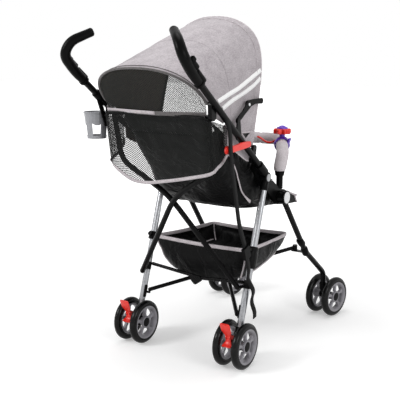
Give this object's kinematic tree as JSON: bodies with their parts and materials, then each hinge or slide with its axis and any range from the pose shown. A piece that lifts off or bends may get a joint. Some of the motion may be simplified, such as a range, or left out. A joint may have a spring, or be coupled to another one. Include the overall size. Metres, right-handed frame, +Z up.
{
  "type": "stroller",
  "caption": "Umbrella-fold stroller with cane grips, twin wheels, swivelling front casters, reclined seat with net back, hooded canopy, toy bar, basket and cup holder.",
  "frame": {"origin": "on the floor, under the middle of the bounding box", "axes": "+X is the pusher's left, +Y is behind the stroller, where the pusher stands, +Z is up; the child faces -Y"},
  "size_m": [0.5868, 1.0215, 1.1079],
  "materials": {
    "black_steel": "gloss powder coat",
    "silver_tube": "satin anodised",
    "black_plastic": "fine texture",
    "red_plastic": "gloss",
    "purple_plastic": "gloss",
    "rim_plastic": "satin",
    "cup_plastic": "satin",
    "grip_rubber": "soft foam",
    "tyre": "moulded",
    "canopy_fabric": "melange weave",
    "pad_fabric": "melange weave",
    "black_fabric": "plain weave",
    "net_fabric": "open net",
    "webbing": "woven strap"
  },
  "bodies": {
    "front_leg_right": {"front_leg_right": "black_steel", "basket": "black_fabric"},
    "front_leg_left": {"front_leg_left": "black_steel"},
    "handle_right": {"side_bracket_right": "black_plastic", "handle_tube_right": "black_steel", "grip_right": "grip_rubber", "side_panel_right": "black_fabric", "seat_cushion": "black_fabric", "rear_net": "net_fabric", "rear_window": "net_fabric", "canopy_rear": "canopy_fabric", "side_strap": "webbing", "strap_buckle": "black_plastic"},
    "handle_left": {"side_bracket_left": "black_plastic", "handle_tube_left": "black_steel", "grip_left": "grip_rubber", "side_panel_left": "black_fabric", "cup_holder": "cup_plastic", "cup_clip": "black_plastic"},
    "scissor_front": {"scissor_tube_front": "black_steel"},
    "scissor_rear": {"scissor_tube_rear": "black_steel"},
    "lower_bar_upper": {"lower_bar_upper": "black_steel"},
    "lower_bar_lower": {"lower_bar_lower": "black_steel"},
    "toy_bar_left": {"toy_bar_left": "pad_fabric"},
    "toy_bar_right": {"toy_bar_right": "pad_fabric", "toy_ring": "purple_plastic"},
    "toy_flower": {"toy_flower": "red_plastic", "toy_cap": "purple_plastic"},
    "canopy": {"canopy_front": "canopy_fabric", "canopy_bow": "black_plastic"},
    "seat_back": {"seat_back": "black_fabric"},
    "fold_latch": {"fold_latch": "red_plastic"},
    "caster_right": {"caster_right": "black_plastic"},
    "front_wheels_right": {"front_rims_right": "rim_plastic", "front_tyre_right_a": "tyre", "front_tyre_right_b": "tyre"},
    "rear_leg_right": {"rear_leg_right": "silver_tube", "rear_hub_right": "black_plastic", "basket_clamp_right": "black_plastic"},
    "rear_wheels_right": {"rear_rims_right": "rim_plastic", "rear_tyre_right_a": "tyre", "rear_tyre_right_b": "tyre"},
    "brake_right": {"brake_right": "red_plastic"},
    "stay_right": {"stay_right": "black_steel"},
    "brace_lower_right": {"brace_lower_right": "black_plastic"},
    "brace_upper_right": {"brace_upper_right": "black_plastic"},
    "caster_left": {"caster_left": "black_plastic"},
    "front_wheels_left": {"front_rims_left": "rim_plastic", "front_tyre_left_a": "tyre", "front_tyre_left_b": "tyre"},
    "rear_leg_left": {"rear_leg_left": "silver_tube", "rear_hub_left": "black_plastic", "basket_clamp_left": "black_plastic"},
    "rear_wheels_left": {"rear_rims_left": "rim_plastic", "rear_tyre_left_a": "tyre", "rear_tyre_left_b": "tyre"},
    "brake_left": {"brake_left": "red_plastic"},
    "stay_left": {"stay_left": "black_steel"},
    "brace_lower_left": {"brace_lower_left": "black_plastic"},
    "brace_upper_left": {"brace_upper_left": "black_plastic"}
  },
  "joints": [
    {"name": "handle_fold_right", "type": "hinge", "parent": "front_leg_right", "child": "handle_right", "pos_m": [-0.2096, -0.0959, 0.508], "axis": [1, 0, 0], "range_deg": [0, 15]},
    {"name": "fold", "type": "hinge", "parent": "handle_right", "child": "rear_leg_right", "pos_m": [-0.2081, 0.0221, 0.592], "axis": [-1, 0, 0], "range_deg": [0, 59], "deforming": ["seat_cushion", "seat_back", "side_panel_right", "side_panel_left", "rear_net", "rear_window", "canopy_rear", "canopy_front", "canopy_bow", "basket", "side_strap"]},
    {"name": "scissor_fold_front", "type": "hinge", "parent": "rear_leg_right", "child": "scissor_front", "pos_m": [-0.1896, 0.1626, 0.252], "axis": [0.6655, -0.7444, 0.0552], "range_deg": [0, 41.22]},
    {"name": "stay_fold_right", "type": "hinge", "parent": "rear_leg_right", "child": "stay_right", "pos_m": [-0.1906, 0.1351, 0.262], "axis": [0, -1, 0], "range_deg": [0, 72]},
    {"name": "toy_bar_swing_right", "type": "hinge", "parent": "handle_right", "child": "toy_bar_right", "pos_m": [-0.1916, -0.1059, 0.578], "axis": [0, 0, -1], "range_deg": [0, 52]},
    {"name": "handle_fold_left", "type": "hinge", "parent": "front_leg_left", "child": "handle_left", "pos_m": [0.2004, -0.0959, 0.508], "axis": [1, 0, 0], "range_deg": [0, 15]},
    {"name": "fold_left", "type": "hinge", "parent": "handle_left", "child": "rear_leg_left", "pos_m": [0.1989, 0.0221, 0.592], "axis": [-1, 0, 0], "range_deg": [0, 59]},
    {"name": "scissor_fold_rear", "type": "hinge", "parent": "rear_leg_left", "child": "scissor_rear", "pos_m": [0.1804, 0.1846, 0.252], "axis": [0.6655, 0.7444, -0.0552], "range_deg": [0, 41.22]},
    {"name": "stay_fold_left", "type": "hinge", "parent": "rear_leg_left", "child": "stay_left", "pos_m": [0.1814, 0.1221, 0.262], "axis": [0, 1, 0], "range_deg": [0, 72]},
    {"name": "toy_bar_swing_left", "type": "hinge", "parent": "handle_left", "child": "toy_bar_left", "pos_m": [0.1824, -0.1059, 0.578], "axis": [0, 0, 1], "range_deg": [0, 52]},
    {"name": "fold_slide", "type": "slide", "parent": "front_leg_right", "child": "front_leg_left", "axis": [-1, 0, 0], "range_m": [0, 0.25]},
    {"name": "bar_fold_upper", "type": "hinge", "parent": "rear_leg_left", "child": "lower_bar_upper", "pos_m": [0.1734, 0.1527, 0.1775], "axis": [-0.7049, 0.3545, 0.6143], "range_deg": [0, 44.27]},
    {"name": "bar_fold_lower", "type": "hinge", "parent": "rear_leg_right", "child": "lower_bar_lower", "pos_m": [-0.1826, 0.1527, 0.1565], "axis": [-0.7049, -0.3545, -0.6143], "range_deg": [0, 44.27]},
    {"name": "caster_swivel_right", "type": "hinge", "parent": "front_leg_right", "child": "caster_right", "pos_m": [-0.2296, -0.4069, 0.128], "axis": [0, 0, 1], "continuous": true},
    {"name": "front_wheels_right", "type": "hinge", "parent": "caster_right", "child": "front_wheels_right", "pos_m": [-0.23397, -0.4305, 0.075], "axis": [0.9833, -0.1822, 0], "continuous": true},
    {"name": "rear_wheels_right", "type": "hinge", "parent": "rear_leg_right", "child": "rear_wheels_right", "pos_m": [-0.2066, 0.2001, 0.075], "axis": [1, 0, 0], "continuous": true},
    {"name": "brake_right", "type": "hinge", "parent": "rear_leg_right", "child": "brake_right", "pos_m": [-0.2066, 0.2301, 0.109], "axis": [-1, 0, 0], "range_deg": [0, 18]},
    {"name": "caster_swivel_left", "type": "hinge", "parent": "front_leg_left", "child": "caster_left", "pos_m": [0.2204, -0.4069, 0.128], "axis": [0, 0, 1], "continuous": true},
    {"name": "front_wheels_left", "type": "hinge", "parent": "caster_left", "child": "front_wheels_left", "pos_m": [0.21603, -0.4305, 0.075], "axis": [0.9833, -0.1822, 0], "continuous": true},
    {"name": "rear_wheels_left", "type": "hinge", "parent": "rear_leg_left", "child": "rear_wheels_left", "pos_m": [0.1974, 0.2001, 0.075], "axis": [1, 0, 0], "continuous": true},
    {"name": "brake_left", "type": "hinge", "parent": "rear_leg_left", "child": "brake_left", "pos_m": [0.1974, 0.2301, 0.109], "axis": [-1, 0, 0], "range_deg": [0, 18]},
    {"name": "canopy", "type": "hinge", "parent": "handle_right", "child": "canopy", "pos_m": [-0.0046, 0.0891, 0.695], "axis": [-1, 0, 0], "range_deg": [0, 45]},
    {"name": "brace_lower_right", "type": "hinge", "parent": "handle_right", "child": "brace_lower_right", "pos_m": [-0.2095, 0.2091, 0.79], "axis": [-1, 0, 0], "range_deg": [0, 84]},
    {"name": "brace_upper_right", "type": "hinge", "parent": "brace_lower_right", "child": "brace_upper_right", "pos_m": [-0.2061, 0.1421, 0.835], "axis": [1, 0, 0], "range_deg": [0, 115]},
    {"name": "brace_lower_left", "type": "hinge", "parent": "handle_left", "child": "brace_lower_left", "pos_m": [0.2003, 0.2091, 0.79], "axis": [-1, 0, 0], "range_deg": [0, 84]},
    {"name": "brace_upper_left", "type": "hinge", "parent": "brace_lower_left", "child": "brace_upper_left", "pos_m": [0.1969, 0.1421, 0.835], "axis": [1, 0, 0], "range_deg": [0, 115]},
    {"name": "recline", "type": "hinge", "parent": "handle_right", "child": "seat_back", "pos_m": [-0.0046, 0.0611, 0.502], "axis": [1, 0, 0], "range_deg": [0, 25]},
    {"name": "fold_latch", "type": "hinge", "parent": "handle_right", "child": "fold_latch", "pos_m": [-0.22402, 0.16915, 0.71283], "axis": [1, 0, 0], "range_deg": [0, 30]},
    {"name": "flower_spin", "type": "hinge", "parent": "toy_bar_right", "child": "toy_flower", "pos_m": [-0.13098, -0.23412, 0.7078], "axis": [0, 0, 1], "continuous": true}
  ],
  "couplings": [
    {"joint": "handle_fold_right", "follows": "fold", "ratio": 0.25424},
    {"joint": "scissor_fold_front", "follows": "fold", "ratio": 0.69872},
    {"joint": "stay_fold_right", "follows": "fold", "ratio": 1.2203},
    {"joint": "toy_bar_swing_right", "follows": "fold", "ratio": 0.88136},
    {"joint": "handle_fold_left", "follows": "fold", "ratio": 0.25424},
    {"joint": "fold_left", "follows": "fold", "ratio": 1},
    {"joint": "scissor_fold_rear", "follows": "fold", "ratio": 0.69872},
    {"joint": "stay_fold_left", "follows": "fold", "ratio": 1.2203},
    {"joint": "toy_bar_swing_left", "follows": "fold", "ratio": 0.88136},
    {"joint": "fold_slide", "follows": "fold", "m_per_rad": 0.24278},
    {"joint": "bar_fold_upper", "follows": "fold", "ratio": 0.75033},
    {"joint": "bar_fold_lower", "follows": "fold", "ratio": 0.75033},
    {"joint": "brace_lower_right", "follows": "canopy", "ratio": 1.8667},
    {"joint": "brace_upper_right", "follows": "canopy", "ratio": 2.5556},
    {"joint": "brace_lower_left", "follows": "canopy", "ratio": 1.8667},
    {"joint": "brace_upper_left", "follows": "canopy", "ratio": 2.5556}
  ]
}
